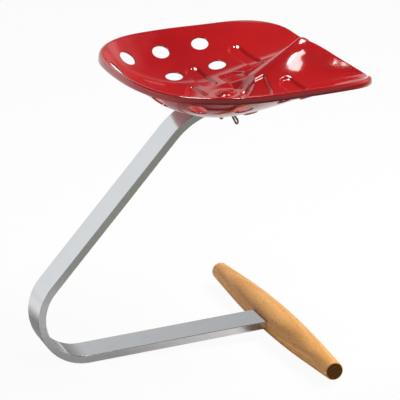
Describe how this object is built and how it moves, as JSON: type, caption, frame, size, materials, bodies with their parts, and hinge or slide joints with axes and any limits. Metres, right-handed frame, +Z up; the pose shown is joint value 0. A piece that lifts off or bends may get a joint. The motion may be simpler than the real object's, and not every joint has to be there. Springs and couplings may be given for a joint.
{
  "type": "tractor seat stool",
  "caption": "Stool with a pressed red metal tractor seat on a bent flat steel cantilever stem and a turned wooden crossbar as its front foot.",
  "frame": {"origin": "on the floor, straight below the centre of the stem's lower bend, in the stem's middle plane", "axes": "+X from the lower bend to the wooden crossbar and the seat's front, +Z up, +Y to the far side"},
  "size_m": [0.5067, 0.5, 0.4888],
  "materials": {
    "seat_red": "gloss",
    "bolt_red": "gloss on the head",
    "pad_rubber": "matt",
    "stem_chrome": "bright",
    "washer_steel": "zinc plated",
    "spring_steel": "dark",
    "nut_bronze": "dark bronze plated",
    "wire_bronze": "dark bronze plated",
    "beech": "clear satin lacquer",
    "screw_steel": "zinc plated",
    "screw_washer_steel": "zinc plated"
  },
  "bodies": {
    "stem": {"stem_bar": "stem_chrome", "seat_pad": "pad_rubber", "crossbar": "beech", "crossbar_screws": "screw_steel", "crossbar_screw_washers": "screw_washer_steel"},
    "seat": {"seat_pan": "seat_red", "seat_bolt": "bolt_red"},
    "nut_carrier": {"plain_washer": "washer_steel", "spring_washer": "spring_steel"},
    "nut": {"wing_nut": "nut_bronze", "wing_wires": "wire_bronze"}
  },
  "joints": [
    {"name": "seat_swivel", "type": "hinge", "parent": "stem", "child": "seat", "pos_m": [0.24295, 0, 0.40447], "axis": [-0.1219, 0, 0.9925], "continuous": true},
    {"name": "nut_travel", "type": "slide", "parent": "seat", "child": "nut_carrier", "axis": [0.1219, 0, -0.9925], "range_m": [0, 0.0045]},
    {"name": "nut_spin", "type": "hinge", "parent": "nut_carrier", "child": "nut", "pos_m": [0.24295, 0, 0.40447], "axis": [0.1219, 0, -0.9925], "range_deg": [0, 1080]}
  ],
  "couplings": [
    {"joint": "nut_travel", "follows": "nut_spin", "m_per_rad": 0.00023873}
  ]
}
